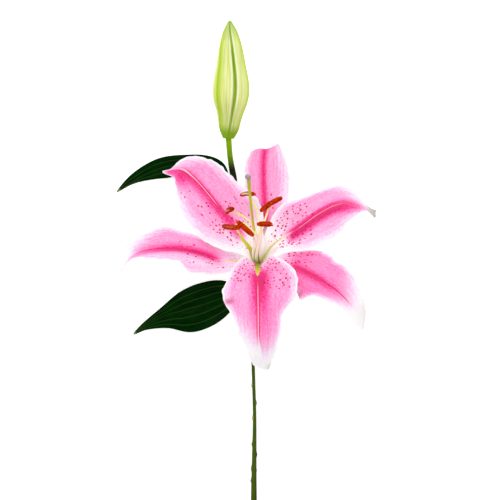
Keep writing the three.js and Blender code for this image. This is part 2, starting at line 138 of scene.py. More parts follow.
# The stem: one grown piece from the slanting cut to the base of the bud. The bloom's own stalk
# branches off it, bends up and flares into the receptacle. It is smooth green tissue with fine
# lengthwise ribs, raised scars where leaves were stripped, and a ring at a node.
TILT = math.radians(38)  # of the bloom's axis from upright towards the bud
LEAN = math.radians(6)  # of the axis to the left
RECEPTACLE = np.array([7, -12.5, 28])
AXIS = np.array([-math.sin(LEAN), math.cos(LEAN) * math.sin(TILT), math.cos(LEAN) * math.cos(TILT)])
STEM = np.array([
    [3.5, -224, 2.5, 2.4], [3.1, -196, 2.4, 2.3], [3.4, -165, 2, 1.85], [3.7, -134, 1.8, 1.4],
    [2.9, -104, 2, 1.35], [2, -76, 2.3, 1.45], [0.4, -48, 2.9, 1.6], [-2.6, -16, 3.6, 1.8],
    [-7.2, 18, 4.2, 2.1], [-12.6, 55, 5.2, 2.5], [-15.7, 73, 6.8, 2.2], [-17.1, 89, 9.1, 2.3],
])  # x, y, z, radius
BLOOM_STALK = np.array([
    [0.9, -60, 2.6, 1.5], [3.3, -46, 5, 1.8], [6.4, -34, 8.6, 2.2], [8.6, -24.5, 14, 2.9],
    [*(RECEPTACLE - 8 * AXIS), 4.4], [*RECEPTACLE, 6.8],
])
LEAF_SCARS = [
    (-108, 1, 0.9), (-122, -1, 0.3), (-134, 1, 1), (-155, 1, 0.2), (-163, -1, 0.1),
    (-174, 1, 0.5), (-184, 1, 0.4),
]  # y, side (1 is left), and how pale the healed skin is
SCAR_HEIGHT, SCAR_WIDTH = 0.95, 1.5
DENT_DEPTH, DENT_WIDTH, DENT_RISE = 0.35, 0.6, 0.3  # within each scar
SCAR_REACH = [1.3, 1.7, 1.3]
NODE_RING_Y, RING_HEIGHT, RING_WIDTH = -176, 0.35, 0.9
STEM_RIBS, STEM_UNEVENNESS = 0.015, 0.02  # of the radius
CUT_END = np.array([3.7, -221, 2.4])
CUT_SLANT = math.radians(35)
CUT_RIM = 0.25  # depth to which the cut is pale
SHADE_START_Y, SHADE_FADE = -110, 70


def spline(stations, shares):
    """The smooth line through evenly spaced stations, at shares of the way along it."""
    ends = np.asarray(stations, float)
    ends = np.concatenate([[2 * ends[0] - ends[1]], ends, [2 * ends[-1] - ends[-2]]])
    place = np.clip(shares, 0, 1) * (len(stations) - 1)
    first = np.minimum(place.astype(int), len(stations) - 2)
    w = place - first if ends.ndim == 1 else (place - first)[:, None]
    a, b, c, d = (ends[first + k] for k in range(4))
    bend, turn = (2 * a - 5 * b + 4 * c - d) / 2, (3 * b - a - 3 * c + d) / 2
    return b + w * (c - a) / 2 + w**2 * bend + w**3 * turn


def unit(vectors):
    return vectors / np.linalg.norm(vectors, axis=-1)[..., None]


def heading(stations, shares):
    step = 1e-4
    return unit(spline(stations, shares + step) - spline(stations, shares - step))


def corners(piece):
    flat = np.empty(3 * len(piece.data.vertices))
    piece.data.vertices.foreach_get("co", flat)
    return flat.reshape(-1, 3)


def coordinates(piece):
    """The mesh's vertices, in millimetres from the middle of the photograph."""
    return corners(piece) / MM + FOOTPRINT_CENTRE


def place(piece, points):
    """Moves the mesh's vertices. None of them goes through the surface that the lily lies on."""
    metres = (points - FOOTPRINT_CENTRE) * MM
    metres[:, 2] = np.maximum(metres[:, 2], 0)
    piece.data.vertices.foreach_set("co", metres.ravel())
    piece.data.update()


def store(piece, **values):
    """Keeps numbers on the mesh's vertices for its material to read."""
    for name, numbers in values.items():
        layer = piece.data.attributes.new(name, "FLOAT", "POINT")
        layer.data.foreach_set("value", np.asarray(numbers, float))


def add_grid(name, columns, rows):
    """Adds a flat grid, and returns it with its vertices' shares across and along."""
    bpy.ops.object.select_all(action="DESELECT")
    bpy.ops.mesh.primitive_grid_add(x_subdivisions=columns, y_subdivisions=rows, size=1)
    piece = bpy.context.object
    piece.name = piece.data.name = name
    across, along = corners(piece)[:, :2].T + 0.5
    return piece, across, along


def wrap(name, line, outline, sides, steps, upright=(0, 0, 1), **values):
    """Wraps a grid round a smooth line and closes it. outline gives the radius at a share of
    the length and an angle, which is 90 degrees on the upright side."""
    piece, turn, t = add_grid(name, sides, steps)
    angle = 2 * math.pi * turn
    ahead = heading(line, t)
    left = unit(np.cross(upright, ahead))
    up = np.cross(ahead, left)
    radius = outline(t, angle)
    points = spline(line, t) + left * (radius * np.cos(angle))[:, None]
    place(piece, points + up * (radius * np.sin(angle))[:, None])
    store(piece, length_share=t, **{key: value(t, angle) for key, value in values.items()})
    bpy.ops.object.mode_set(mode="EDIT")
    bpy.ops.mesh.select_all(action="SELECT")
    bpy.ops.mesh.remove_doubles(threshold=1e-6)
    bpy.ops.mesh.fill_holes(sides=0)
    bpy.ops.mesh.select_all(action="SELECT")
    bpy.ops.mesh.normals_make_consistent(inside=False)
    bpy.ops.object.mode_set(mode="OBJECT")
    bpy.ops.object.shade_smooth()
    return piece


stem_line, stem_radius = STEM[:, :3], STEM[:, 3]


def bell(values, centre, half_width):
    return np.exp(-(((values - centre) / half_width) ** 2))


def stem_outline(t, angle):
    y = spline(stem_line, t)[:, 1]
    ribbed = STEM_RIBS * np.cos(9 * angle) + STEM_UNEVENNESS * np.sin(31 * t + 2 * angle)
    radius = spline(stem_radius, t) * (1 + ribbed) + RING_HEIGHT * bell(y, NODE_RING_Y, RING_WIDTH)
    for scar_y, side, _ in LEAF_SCARS:
        facing = np.maximum(0, side * np.cos(angle)) ** 5
        radius += SCAR_HEIGHT * facing * bell(y, scar_y, SCAR_WIDTH)
        radius -= DENT_DEPTH * facing**3 * bell(y, scar_y + DENT_RISE, DENT_WIDTH)
    return radius


stem = wrap("stem_tissue", stem_line, stem_outline, sides=32, steps=380)
bpy.ops.object.mode_set(mode="EDIT")
bpy.ops.mesh.select_all(action="SELECT")
bpy.ops.mesh.bisect(
    plane_co=(CUT_END - FOOTPRINT_CENTRE) * MM,
    plane_no=(0, -math.cos(CUT_SLANT), math.sin(CUT_SLANT)),
    use_fill=True,
    clear_outer=True,
)
bpy.ops.object.mode_set(mode="OBJECT")
stalk_outline = lambda t, angle: spline(BLOOM_STALK[:, 3], t)
stalk = wrap("bloom_stalk", BLOOM_STALK[:, :3], stalk_outline, sides=32, steps=60)
bpy.ops.object.select_all(action="DESELECT")
stem.select_set(True)
bpy.context.view_layer.objects.active = stem
union = stem.modifiers.new("grown_together", "BOOLEAN")
union.operation, union.solver, union.object = "UNION", "EXACT", stalk
bpy.ops.object.modifier_apply(modifier=union.name)
bpy.data.objects.remove(stalk)
bpy.ops.object.shade_smooth_by_angle(angle=math.radians(50))

points = coordinates(stem)
healed = np.zeros(len(points))
shares = np.linspace(0, 1, 400)
for scar_y, side, paleness in LEAF_SCARS:
    share = np.array([np.interp(scar_y, spline(stem_line, shares)[:, 1], shares)])
    centre = spline(stem_line, share)[0]
    centre[0] -= side * (spline(stem_radius, share)[0] + 0.5)
    distance = np.linalg.norm((points - centre) / SCAR_REACH, axis=1)
    healed = np.maximum(healed, paleness * np.clip(1.6 - distance, 0, 1))
cut_depth = (points - CUT_END) @ [0, math.cos(CUT_SLANT), -math.sin(CUT_SLANT)]
middle_x = np.interp(points[:, 1], STEM[:, 1], STEM[:, 0])
# Painted shade: the lower stem is darker on its right side, away from the key light.
shaded = np.clip((points[:, 0] - middle_x - 0.4) / 1.6, 0, 1)  # its lower part, on the right
shaded *= np.clip((SHADE_START_Y - points[:, 1]) / SHADE_FADE, 0, 1)
store(stem, healed=healed, cut_face=np.clip(1 - cut_depth / CUT_RIM, 0, 1), shaded=shaded)


def streaks(tree, place, scale, roughness=0.5):
    """Noise drawn out into streaks. scale is about how many there are to a unit, by axis."""
    stretched = add_node(tree, "ShaderNodeMapping", {"Vector": place, "Scale": scale})
    sockets = {"Vector": stretched, "Scale": 1, "Detail": 3, "Roughness": roughness}
    return add_node(tree, "ShaderNodeTexNoise", sockets)


# Living stem skin: waxy, semi-matt green over fibres that run lengthwise. It is yellow-green by the
# bud and darkest behind the bloom, where the near-black is painted shade from the bloom, with pale
# corky scars and a whitish cut face. Its lower part is painted darker on its right side as shade.
skin, tree, shader = new_material("waxy_stem_skin")
texture_place = add_node(tree, "ShaderNodeTexCoord").outputs["Object"]
height = add_node(tree, "ShaderNodeSeparateXYZ", {0: texture_place}).outputs["Y"]
up_stem = add_node(tree, "ShaderNodeMapRange", {"Value": height, "From Min": -0.2, "From Max": 0.11})
# The near-black stops at 0.8 and 0.92 are painted shade where the bloom shades the stem.
STEM_TONES = [
    (0, "#4E5C04"), (0.25, "#4C6400"), (0.55, "#3C5600"), (0.8, "#1C3000"), (0.92, "#101C00"),
    (0.955, "#7A9C00"), (1, "#96BA00"),
]
greens = add_node(tree, "ShaderNodeValToRGB", {"Fac": up_stem}, stops=STEM_TONES)
fibres = streaks(tree, texture_place, (1400, 60, 1400))  # 0.7 mm apart and 17 mm long
sockets = {MASK: fibres, UNDER: greens, OVER: "#7C8A20"}
finished = add_node(tree, "ShaderNodeMix", sockets, data_type="RGBA", blend_type="SOFT_LIGHT")
# shaded is painted shade; healed and cut_face are the skin's own tones.
for mask, tone in (("shaded", "#142400"), ("healed", "#B9A860"), ("cut_face", "#C9D29A")):
    sockets = {MASK: mask, UNDER: finished, OVER: tone}
    finished = add_node(tree, "ShaderNodeMix", sockets, data_type="RGBA")
bump = add_node(tree, "ShaderNodeBump", {"Height": fibres, "Strength": 0.35, "Distance": 0.0002})
feed(shader, {"Base Color": finished, "Normal": bump, "Roughness": 0.42, "Specular IOR Level": 0.1})
feed(shader, {"Subsurface Weight": 0.08, "Subsurface Scale": 0.001})
stem.data.materials.clear()
stem.data.materials.append(skin)
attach(stem, "root")
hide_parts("stem")

# The two leaves: dark, leathery, glossy blades that join the stem without a stalk. Parallel
# veins run from base to tip, sunk a little between slightly puffed strips of blade.
LEAF_THICKNESS, LEAF_EDGE = 0.9, 0.4
LEAF_GROOVE = 0.8
GROOVE_WIDTH = 2.45  # from the midrib to where its groove is steep
FULL_GROOVE_WIDTH = 12  # half-width from which a blade has its full groove
RUFFLE_START = 0.15
LEAVES = {
    "leaf_lower": dict(
        midrib=[
            [-3.4, -33.3, 3.3], [-20, -37.5, 9], [-36, -43, 12.5], [-52, -47.5, 12],
            [-68, -52.5, 8], [-83, -60, 3.5], [-93, -67.2, 0.6],
        ],
        clockwise=([2, 14.2, 17.2, 14.6, 7.2, 3, 0.8], [60, 25, 5, -5, 5, 15, 0]),
        counter=([2, 12.8, 18.3, 18.5, 10.5, 4, 0.8], [60, 25, 5, -5, 5, 15, 0]),
        ruffle=(1.2, 1.6, 0.2, 0.7),
        veins=3,
    ),
    "leaf_upper": dict(
        midrib=[
            [-17, 57.4, 5.2], [-25, 65, 4.6], [-36, 69, 3.8], [-51, 69, 3.4], [-67, 66.5, 3],
            [-80, 62, 2.4], [-94, 54.5, 1.2], [-106.5, 46.5, 0.5],
        ],
        clockwise=([1.5, 6, 6.6, 7, 8, 7.2, 5, 0.7], [50, 15, 0, 0, 0, 5, 5, 0]),
        counter=([1.5, 5, 8, 9, 9.1, 6.2, 1.8, 0.7], [50, 20, 5, 0, 0, 5, 5, 0]),
        ruffle=(0.5, 1.6, 0.1, 0.6),
        veins=2,
    ),
}


def turned(vectors, q, shape, s):
    """Half-width and cup in radians on the side of each q."""
    sides = [[spline(stations, s) for stations in shape[side]] for side in ("clockwise", "counter")]
    width, cup = (np.where(q < 0, low, high) for low, high in zip(*sides))
    return width, np.radians(cup)


def blade_surface(midrib, sideways, shape, groove, s, q):
    """Points of a blade's middle surface: s runs along the midrib, q across it from -1 to 1.
    Each side has its half-widths and its cup, the turn from midrib to margin."""
    ahead = heading(midrib, s)
    across = unit(sideways - ahead * (ahead @ sideways)[:, None])
    inward = np.cross(ahead, across)
    width, bend = turned(ahead, q, shape, s)
    bend = np.where(np.abs(bend) < 1e-6, 1e-6, bend)
    reach = np.abs(q)
    lateral = np.sign(q) * width * np.sin(bend * reach) / bend
    arch = width * (1 - np.cos(bend * reach)) / bend
    away = 1 - np.exp(-((width * reach) ** 2) / (2 * GROOVE_WIDTH**2))
    rise = groove * away * np.minimum(1, width / FULL_GROOVE_WIDTH)
    height, waves, low_phase, high_phase = shape["ruffle"]
    wave = np.sin(2 * math.pi * (waves * s + np.where(q < 0, low_phase, high_phase)))
    opened = np.sin(math.pi * np.maximum(0, (s - RUFFLE_START) / (1 - RUFFLE_START)))
    lift = arch + rise + height * opened * reach**3 * wave
    return spline(midrib, s) + across * lateral[:, None] + inward * lift[:, None], width * q


def face_normal(surface_at, s, q):
    step = 1e-3
    low_s, high_s = np.maximum(0, s - step), np.minimum(1, s + step)
    low_q, high_q = np.maximum(-1, q - step), np.minimum(1, q + step)
    along = surface_at(high_s, q)[0] - surface_at(low_s, q)[0]
    return unit(np.cross(along, surface_at(s, high_q)[0] - surface_at(s, low_q)[0]))


def thickness_at(s, q, thickness, edge):
    return edge + (thickness - edge) * (1 - np.abs(q)) ** 2 * (1 - 0.5 * s)


def add_blade(name, surface_at, relief, thickness, edge, columns, rows, crowding=1):
    """Shapes a grid to a blade and gives it its thickness. Its columns crowd to the midrib."""
    piece, across, s = add_grid(name, columns, rows)
    q = 2 * across - 1
    q = np.sign(q) * np.abs(q) ** crowding
    points, offset = surface_at(s, q)
    points = points + face_normal(surface_at, s, q) * relief(s, q, offset)[:, None]
    place(piece, points)
    piece.data.flip_normals()
    shares = np.linspace(0, 1, 200)
    steps = np.diff(surface_at(shares, 0 * shares)[0], axis=0)
    travelled = np.concatenate([[0], np.cumsum(np.linalg.norm(steps, axis=1))])
    along = np.interp(s, shares, travelled)
    store(piece, across=offset, along=along, length_share=s)
    share = thickness_at(s, q, thickness, edge) / thickness
    group = piece.vertex_groups.new(name="thickness")
    for index, weight in enumerate(share):
        group.add([index], float(weight), "REPLACE")
    wall = piece.modifiers.new("thickness", "SOLIDIFY")
    wall.thickness, wall.offset = thickness * MM, 0
    wall.vertex_group = "thickness"
    wall.material_offset = wall.material_offset_rim = 1
    bpy.ops.object.shade_smooth()
    return piece, s, q, offset


def finish_blade(piece, face, back):
    piece.data.materials.append(face)
    piece.data.materials.append(back)
    bpy.ops.object.modifier_apply(modifier="thickness")
    place(piece, coordinates(piece))
    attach(piece, "root")


# Lily leaf: a cuticle of wax over deep green tissue, so a smooth, soft gloss. The veins are
# paler, the tip is dry, and the skin between the veins has hair-fine lengthwise grooves.
leaf_face, tree, shader = new_material("waxy_leaf_upper_skin")
grain_place = add_node(tree, "ShaderNodeCombineXYZ", {"X": "across", "Y": "along"})
grain = streaks(tree, grain_place, (2.2, 0.05, 1))  # grooves 0.45 mm apart and 20 mm long
grooves = add_node(tree, "ShaderNodeMapRange", {"Value": grain, "From Min": 0.45, "From Max": 0.9})
patches = add_node(tree, "ShaderNodeTexNoise", {"Vector": grain_place, "Scale": 0.06, "Detail": 3})
LEAF_GREENS = [(0.3, "#001000"), (0.75, "#022A00")]
greens = add_node(tree, "ShaderNodeValToRGB", {"Fac": patches}, stops=LEAF_GREENS)
sockets = {"Value": "length_share", "From Min": 0.96, "From Max": 0.995}
dry_tip = add_node(tree, "ShaderNodeMapRange", sockets)
finished = greens
for mask, tone in ((grooves, "#043804"), ("vein", "#26441E"), (dry_tip, "#9AA878")):
    sockets = {MASK: mask, UNDER: finished, OVER: tone}
    finished = add_node(tree, "ShaderNodeMix", sockets, data_type="RGBA")
bump = add_node(tree, "ShaderNodeBump", {"Height": grain, "Strength": 0.5, "Distance": 0.0002})
feed(shader, {"Base Color": finished, "Normal": bump, "Roughness": 0.35, "Specular IOR Level": 0.015})
leaf_back, tree, shader = new_material("matt_leaf_under_skin")
sockets = {MASK: "vein", UNDER: "#4C7439", OVER: "#8FAE6A"}
finished = add_node(tree, "ShaderNodeMix", sockets, data_type="RGBA")
feed(shader, {"Base Color": finished, "Roughness": 0.6, "IOR": 1.4})

PUFF = 0.28  # rise of the blade between its veins
VEIN_WIDTH = 0.4  # half of it
MARGIN_START = 0.97
for name, leaf in LEAVES.items():
    midrib = np.array(leaf["midrib"])
    sideways = unit(np.cross([0, 0, 1], midrib[-1] - midrib[0]))
    surface_at = lambda s, q: blade_surface(midrib, sideways, leaf, LEAF_GROOVE, s, q)
    veins = leaf["veins"]
    puffed = lambda s, q, offset: (
        PUFF * np.abs(np.sin(math.pi * veins * q)) ** 0.6 * np.sin(math.pi * np.clip(s, 0, 1))
    )
    piece, s, q, offset = add_blade(
        name + "_blade", surface_at, puffed, LEAF_THICKNESS, LEAF_EDGE, columns=96, rows=150
    )
    nearest = np.abs(q * veins - np.round(q * veins)) / veins
    half_width = np.abs(offset / np.where(np.abs(q) < 1e-6, 1, q))
    vein = np.clip(1.1 - nearest * half_width / VEIN_WIDTH, 0, 1)
    store(piece, vein=vein * (np.abs(q) < MARGIN_START))
    finish_blade(piece, leaf_face, leaf_back)
    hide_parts(name)

# The closed bud: three outer tepals wrapped round the rest and meeting at three seams, each with
# a raised keel. One seam faces the camera and stands a little open. The skin is pale, smooth and
# lightly waxed.
BUD_LINE = [
    [-17.2, 88.9, 9.1], [-16, 107, 11.6], [-15.3, 126, 13.8], [-15.2, 145, 13.2],
    [-15.5, 164, 10.8], [-16, 182, 9],
]
BUD_RADIUS = [4.4, 7.7, 8.9, 10.8, 13.2, 14.3, 14, 12.9, 11.5, 10.4, 9.1, 7.4, 5, 1.2]
SEAM_WANDER = 16  # degrees
KEEL, SHOULDER = 0.05, 0.03  # of the radius, as the next three
SEAM_GAP, SEAM_VALLEY, SEAM_LIP = 0.11, 0.03, 0.025
SEAM_WIDTH, LIP_PLACE, LIP_WIDTH = 7.5, 13, 5  # degrees


def seam_distance(t, angle):
    """Degrees from the nearest seam. The one that faces up wanders a little."""
    turn = np.degrees(angle) - 90 - SEAM_WANDER * np.sin(math.pi * t / 0.9)
    return (turn + 60) % 120 - 60


def bud_outline(t, angle):
    off_seam = seam_distance(t, angle)
    lobe = np.cos(np.radians(3 * off_seam))
    keel = KEEL * np.maximum(0, -lobe) ** 3
    gap = SEAM_GAP * bell(off_seam, 0, SEAM_WIDTH) + SEAM_VALLEY * np.maximum(0, lobe) ** 3
    lip = SEAM_LIP * bell(np.abs(off_seam), LIP_PLACE, LIP_WIDTH)
    shoulder = SHOULDER * bell(t, 0.14, 0.05) * np.maximum(0, np.cos(angle)) ** 2
    return spline(BUD_RADIUS, t) * (1 - gap + lip + keel + shoulder)


bud = wrap(
    "bud_tepals",
    BUD_LINE,
    bud_outline,
    sides=144,
    steps=130,
    off_seam=lambda t, angle: np.abs(seam_distance(t, angle)),
    sideways=lambda t, angle: np.cos(angle),
    upwards=lambda t, angle: np.sin(angle),
)
# Bud skin: translucent yellow-green tissue, whitest in broad bands along each tepal and greenest
# along its margins, in the open seam and at both ends.
bud_skin, tree, shader = new_material("pale_bud_skin")
across = add_node(tree, "ShaderNodeMapRange", {"Value": "off_seam", "From Max": 60})
BUD_BANDS = [
    (0, "#6C8A00"), (0.09, "#94B400"), (0.14, "#F6F9D8"), (0.3, "#E0E890"), (0.5, "#E8EEA8"),
    (0.75, "#DAE47E"), (0.92, "#B8D236"), (1, "#9AC408"),
]
bands = add_node(tree, "ShaderNodeValToRGB", {"Fac": across}, stops=BUD_BANDS)
sockets = {"X": "sideways", "Y": "upwards", "Z": "length_share"}
streak_place = add_node(tree, "ShaderNodeCombineXYZ", sockets)
wisps = streaks(tree, streak_place, (7, 7, 2.2))  # 1 mm wide, drawn 2 mm apart, 40 mm long
sockets = {"Value": wisps, "From Min": 0.48, "From Max": 0.66, "To Max": 0.75}
wisp_share = add_node(tree, "ShaderNodeMapRange", sockets)
BUD_ENDS = [(0, 1), (0.05, 0.95), (0.13, 0.3), (0.35, 0), (0.8, 0.05), (0.97, 0.6), (1, 1)]
ends = add_node(tree, "ShaderNodeValToRGB", {"Fac": "length_share"}, stops=BUD_ENDS)
finished = bands
for mask, tone in ((wisp_share, "#B8C458"), (ends, "#7CA600")):
    sockets = {MASK: mask, UNDER: finished, OVER: tone}
    finished = add_node(tree, "ShaderNodeMix", sockets, data_type="RGBA")
bump = add_node(tree, "ShaderNodeBump", {"Height": wisps, "Strength": 0.3, "Distance": 0.0003})
feed(shader, {"Base Color": finished, "Normal": bump, "Roughness": 0.45, "Specular IOR Level": 0.12})
feed(shader, {"Subsurface Weight": 0.2, "Subsurface Radius": (0.9, 1, 0.3), "Subsurface Scale": 0.002})
bud.data.materials.append(bud_skin)
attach(bud, "root")
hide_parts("bud")

# The six tepals: thin, soft, slightly fleshy blades on the rim of the receptacle, three narrow
# outer ones and three broad inner ones. Each has a grooved midrib, ruffled margins, and at its
# foot a yellow-green nectar furrow. The pink is pigment in the skin, and fades to white.
TEPAL_THICKNESS, TEPAL_EDGE = 1.3, 0.4
TEPAL_GROOVE = 1.3
# "midrib" is out from the bloom's axis, along it and sideways. "pink" has a row for each half,
# clockwise first: how strong it is, the shares of the length where it starts, is full and ends, the
# share of the half-width where it starts to pale, the strength, place, width and end of the
# crimson band, and how pink the tip is. "midrib_lines" are the crimson line (strength, start, end)
# and the pale one (strength, distance from the midrib at its start and end, start, end), which is
# partly paler tissue and partly a painted highlight on the lit wall of the midrib's groove. "nectary"
# is the furrow's length, half-width, distance from the midrib and tone at its foot. The row for the
# grey tip is where it starts, how grey it is and on which side (0 is both); it is partly the tip's
# own dry, greyish nub and partly painted shade where the tip curls. The rows for folded corners,
# which hold painted shade where a corner turns away from the light, are across, along and their
# half-width and half-length.
TEPALS = {
    "inner_tepal_lower": dict(
        azimuth=-90,
        midrib=[
            [4.3, 0.8, 0], [9, 13.6, 1.6], [22.5, 21.5, 3], [40, 26, 5], [62, 26, 7], [78, 18, 8],
            [86, 6, 9.5], [89, -5, 10.5], [88, -15, 11],
        ],
        clockwise=(
            [2.3, 5.9, 10.3, 15, 19.5, 22.5, 26.6, 26.6, 22.5, 20, 17.5, 15.5, 14, 12.6, 10.3, 7.6, 2.4],
            [68, 64, 26, 0, -35, -45, -45, -35, -20],
        ),
        counter=(
            [2.3, 6.9, 12, 17, 23, 28.5, 31, 27.6, 19.6, 18.2, 18, 15.6, 12.5, 9.2, 6.2, 4.2, 2],
            [70, 68, 32, 5, -40, -45, -45, -35, -20],
        ),
        ruffle=(2.2, 2.3, 0.1, 0.55),
        pink=(
            (0.51, 0.02, 0.26, 0.64, 0.7, 0.95, 0, 6, 0.77, 0),
            # The crimson band on its right half, set off the midrib, is pigment and partly painted shade on
            # the shaded wall of the groove.
            (0.53, 0.02, 0.26, 0.74, 0.72, 1, 2.5, 6.8, 0.75, 0),
        ),
        midrib_lines=((0.9, 0.3, 0.72), (0.65, 0, -3, 0.34, 0.95)),
        nectary=(36, 4.6, 0, 0.1),
        withered=(0.84, 0.75, 1),
        fold_shades=[(-0.84, 0.44, 0.16, 0.014)],
        papillae=[(-1, 0.15, 0.34, 0.9, 36), (1, 0.15, 0.4, 0.85, 44)],
    ),
    "inner_tepal_upper_right": dict(
        azimuth=31,
        midrib=[
            [4.3, 0.8, 0], [15, 14, 0], [27, 20, 0], [39, 26, -1], [53, 31, -1], [67, 33, -1],
            [80, 30, -2], [91, 21, -2.5], [101.8, 4.2, -5.1],
        ],
        clockwise=(
            [2.3, 6, 10, 15.5, 20.5, 23.7, 25.5, 26.8, 27, 24.5, 21, 18, 15, 11.6, 7.5, 3.4, 3.6],
            [62, 50, 30, 5, -20, -30, -30, -40, -100],
        ),
        counter=(
            [2.3, 6.6, 11, 15.7, 20, 23.7, 26, 25.8, 24.5, 22.2, 19.6, 18.8, 20, 20, 14, 3.4, 3.6],
            [62, 50, 30, 5, -20, -25, -5, 20, 100],
        ),
        ruffle=(2.5, 2.2, 0.3, 0.8),
        pink=(
            (0.45, 0.1, 0.44, 0.84, 0.6, 1, -4, 6, 1.08, 0.2),
            (0.5, 0.08, 0.42, 0.84, 0.76, 0.85, 1, 2.2, 1, 0),
        ),
        midrib_lines=((0.9, 0.3, 0.86), (0.55, -1.1, -0.8, 0.32, 0.75)),
        nectary=(37, 1.2, 2.4, 0.93),
        withered=(0.9, 1, 0),
        papillae=[(-1, 0.17, 0.42, 0.68, 26), (1, 0.17, 0.49, 0.8, 38)],
    ),
    "inner_tepal_upper_left": dict(
        azimuth=137,
        midrib=[
            [4.3, 0.8, 0], [7, 14, -1], [17, 20, -1], [30, 27, -2], [45, 33, -2], [61, 38, -3.5],
            [78, 41, -4.5], [90, 42, -2.8], [100.4, 40, 6.8],
        ],
        clockwise=(
            [2.3, 6.6, 11, 15.6, 20, 24, 27, 27.8, 27.5, 26.4, 25, 24, 21.5, 17.5, 12, 2.6, 1],
            [62, 50, 30, 18, 8, 5, 5, 0, -10],
        ),
        counter=(
            [2.3, 6.8, 11.4, 16.8, 22, 26.2, 29, 29.6, 29, 28, 25.5, 21.5, 16.5, 13, 12, 6.5, 1],
            [62, 50, 30, 12, 0, -10, -20, -30, -30],
        ),
        ruffle=(2, 2, 0.6, 0.2),
        pink=(
            (0.52, 0.12, 0.45, 0.9, 0.6, 0.75, 0, 3.6, 1.1, 0.1),
            (0.5, 0.1, 0.48, 0.93, 0.5, 0.72, 1, 5, 1.1, 0.75),
        ),
        midrib_lines=((0.9, 0.34, 0.9), (0.6, -0.7, -1.3, 0.5, 0.93)),
        nectary=(39, 2.8, 2, 0.6),
        withered=(0.99, 0.3, 0),
        papillae=[(-1, 0.28, 0.5, 0.6, 24), (1, 0.24, 0.58, 0.55, 32), (1, 0.64, 0.72, 0.85, 3)],
    ),
    "outer_tepal_left": dict(
        azimuth=190,
        midrib=[
            [5.9, 1, 0], [14, 5, -1], [30, 14, -1], [44, 23, -3], [59, 29, -5], [75, 31, -6],
            [90, 29, -7], [99, 24, -6], [107, 13, -4],
        ],
        clockwise=(
            [2.3, 5.2, 8, 10.7, 13, 14.6, 16.2, 17.4, 18, 19.8, 17.2, 13, 9.8, 9.8, 9.5, 5.8, 1.2],
            [50, 30, 5, -10, 5, 30, 40, 30, 10],
        ),
        counter=(
            [2.3, 5, 8, 12.1, 16, 18.7, 20.4, 23, 16.3, 14.8, 13, 10.6, 8.5, 8.1, 7.5, 4.7, 1.2],
            [50, 30, 5, -10, 5, 30, 40, 30, 10],
        ),
        ruffle=(2, 2.6, 0.4, 0),
        pink=(
            (0.51, 0.05, 0.34, 0.77, 0.62, 0.78, 0, 4, 0.94, 0),
            # Its lower half is pink right down to its foot, partly pigment and partly painted shade where
            # the lower tepal shades it.
            (0.35, -0.3, 0.5, 0.87, 0.9, 0.98, 1, 4.6, 0.96, 0.12),
        ),
        midrib_lines=((1, 0.22, 0.8), (0, 0, 0, 0.3, 0.7)),
        nectary=(28, 1.5, -1.4, 0.88),
        withered=(0.985, 1, 0),
        papillae=[(-1, 0.3, 0.52, 0.5, 3), (1, 0.2, 0.5, 0.65, 15)],
    ),
    "outer_tepal_upper": dict(
        azimuth=88,
        midrib=[
            [5.9, 1, 0], [12, 11, -5], [25, 18, -4], [42, 26, -2.6], [59, 35, -0.5], [72, 42, 0],
            [83, 43, 0], [88, 35, 0], [85, 30, 0],
        ],
        clockwise=([2.3, 8, 14, 18.4, 20.8, 18.6, 13, 7.9, 1.2], [50, 30, -5, -15, -5, 20, 48, 30, -10]),
        counter=(
            [2.3, 5.1, 8, 11.2, 14, 15.3, 16, 16.6, 15, 15.8, 15.5, 14, 11.8, 9.2, 7.5, 4.5, 1.2],
            [50, 30, 0, -10, -5, -25, -35, -25, -20],
        ),
        ruffle=(1.8, 2.4, 0.7, 0.3),
        pink=(
            (0.5, 0.05, 0.34, 1.2, 0.4, 0.8, 0, 3.2, 1.4, 0.2),
            (0.52, 0.05, 0.34, 1.2, 0.6, 0.8, 0, 3.2, 1.4, 0.2),
        ),
        midrib_lines=((1, 0.25, 1), (0, 0, 0, 0.3, 0.7)),
        nectary=(26, 1.6, 0, 0.6),
        withered=(0.98, 1, 0),
        papillae=[(-1, 0.25, 0.45, 0.6, 5), (1, 0.22, 0.4, 0.6, 4)],
    ),
    "outer_tepal_lower_right": dict(
        azimuth=-30,
        midrib=[
            [5.9, 1, 0], [16, 8, 4], [29, 14, 5], [41, 19, 2.5], [54, 23, 0], [66, 24, -1.5],
            [79, 18, -1.5], [90, 7, -2], [99, -10, -4.5],
        ],
        clockwise=(
            [2.3, 5.1, 8, 11.2, 14, 15.8, 17, 18, 19.5, 22.5, 16, 14.6, 13, 11.3, 9, 5.3, 1.2],
            [50, 30, 5, -5, -20, 5, 10, 5, 0],
        ),
        counter=(
            [2.3, 5, 8.5, 12.5, 17, 22.8, 23.8, 23.2, 22, 18.6, 19, 19.5, 18, 15.5, 12.5, 8.5, 1.2],
            [50, 25, -10, -10, 0, 10, 10, 5, 0],
        ),
        ruffle=(2, 2.2, 0.5, 0.9),
        pink=(
            (0.66, 0.05, 0.34, 0.78, 0.64, 0.9, -1, 4, 0.92, 0),
            (0.61, 0.05, 0.3, 0.79, 0.76, 0.92, -1, 4, 0.92, 0),
        ),
        midrib_lines=((1, 0.3, 0.88), (0, 0, 0, 0.3, 0.7)),
        nectary=(26, 1.5, 0, 0.6),
        withered=(0.84, 0.35, 1),
        fold_shades=[(-0.95, 0.52, 0.25, 0.035)],
        papillae=[(-1, 0.22, 0.34, 0.5, 3), (1, 0.18, 0.4, 0.85, 26)],
    ),
}
UP = unit([0, 1, 0] - AXIS * AXIS[1])
RIGHT = np.cross(UP, AXIS)


def outward(azimuth):
    angle = math.radians(azimuth)
    return RIGHT * math.cos(angle) + UP * math.sin(angle)


def smooth(low, high, values):
    share = np.clip((values - low) / (high - low), 0, 1)
    return share * share * (3 - 2 * share)


